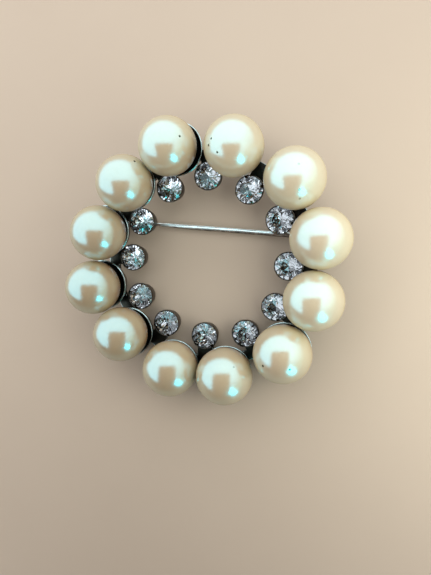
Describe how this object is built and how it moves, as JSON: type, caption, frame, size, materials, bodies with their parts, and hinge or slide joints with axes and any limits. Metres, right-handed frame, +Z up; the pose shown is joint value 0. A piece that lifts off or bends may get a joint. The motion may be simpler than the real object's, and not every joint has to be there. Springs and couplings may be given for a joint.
{
  "type": "brooch",
  "caption": "Open circle brooch: imitation pearls in flared metal cups round a flat ring, claw-set clear stones inside the gaps, and a hinged pin stem with a turning lock.",
  "frame": {"origin": "point on the table below the middle of the wreath as it lies on its back, on the joint, the catch and the lowest stone setting", "axes": "+Z up from the table; +X along the closed pin stem, from the catch towards the joint; +Y towards the top of the brooch as it is worn. The plane of the ring is tipped about X, with its +Y side up."},
  "size_m": [0.0402, 0.0396, 0.0134],
  "materials": {
    "pearl": "imitation pearl: cream nacre lacquer over a moulded bead, satin gloss",
    "cup_metal": "silver-toned cups gone dark inside, with a bright rubbed rim",
    "stone": "clear cut crystal with a silver foil back",
    "setting_metal": "tarnished silver tone, with bright claws",
    "frame_metal": "tarnished silver tone, rubbed bright on its edges",
    "pin_metal": "polished wire with fine drawing marks"
  },
  "bodies": {
    "wreath": {"pearl_01": "pearl", "pearl_02": "pearl", "pearl_03": "pearl", "pearl_04": "pearl", "pearl_05": "pearl", "pearl_06": "pearl", "pearl_07": "pearl", "pearl_08": "pearl", "pearl_09": "pearl", "pearl_10": "pearl", "pearl_11": "pearl", "pearl_12": "pearl", "pearl_cup_01": "cup_metal", "pearl_cup_02": "cup_metal", "pearl_cup_03": "cup_metal", "pearl_cup_04": "cup_metal", "pearl_cup_05": "cup_metal", "pearl_cup_06": "cup_metal", "pearl_cup_07": "cup_metal", "pearl_cup_08": "cup_metal", "pearl_cup_09": "cup_metal", "pearl_cup_10": "cup_metal", "pearl_cup_11": "cup_metal", "pearl_cup_12": "cup_metal", "stone_01": "stone", "stone_02": "stone", "stone_03": "stone", "stone_04": "stone", "stone_05": "stone", "stone_06": "stone", "stone_07": "stone", "stone_08": "stone", "stone_09": "stone", "stone_10": "stone", "stone_11": "stone", "stone_12": "stone", "stone_setting_01": "setting_metal", "stone_setting_02": "setting_metal", "stone_setting_03": "setting_metal", "stone_setting_04": "setting_metal", "stone_setting_05": "setting_metal", "stone_setting_06": "setting_metal", "stone_setting_07": "setting_metal", "stone_setting_08": "setting_metal", "stone_setting_09": "setting_metal", "stone_setting_10": "setting_metal", "stone_setting_11": "setting_metal", "stone_setting_12": "setting_metal", "frame_ring": "frame_metal", "pearl_pegs": "frame_metal", "joint_base": "frame_metal", "joint_rivet": "pin_metal", "catch_base": "frame_metal"},
    "stem": {"pin_stem": "pin_metal"},
    "lock": {"catch_lock": "pin_metal"}
  },
  "joints": [
    {"name": "pin_hinge", "type": "hinge", "parent": "wreath", "child": "stem", "pos_m": [0.0159, 0.0055, 0.00115], "axis": [0, -0.993, -0.1184], "range_deg": [0, 100]},
    {"name": "lock_turn", "type": "hinge", "parent": "wreath", "child": "lock", "pos_m": [-0.0158, 0.0055, 0.00115], "axis": [1, 0, 0], "range_deg": [0, 70]}
  ]
}
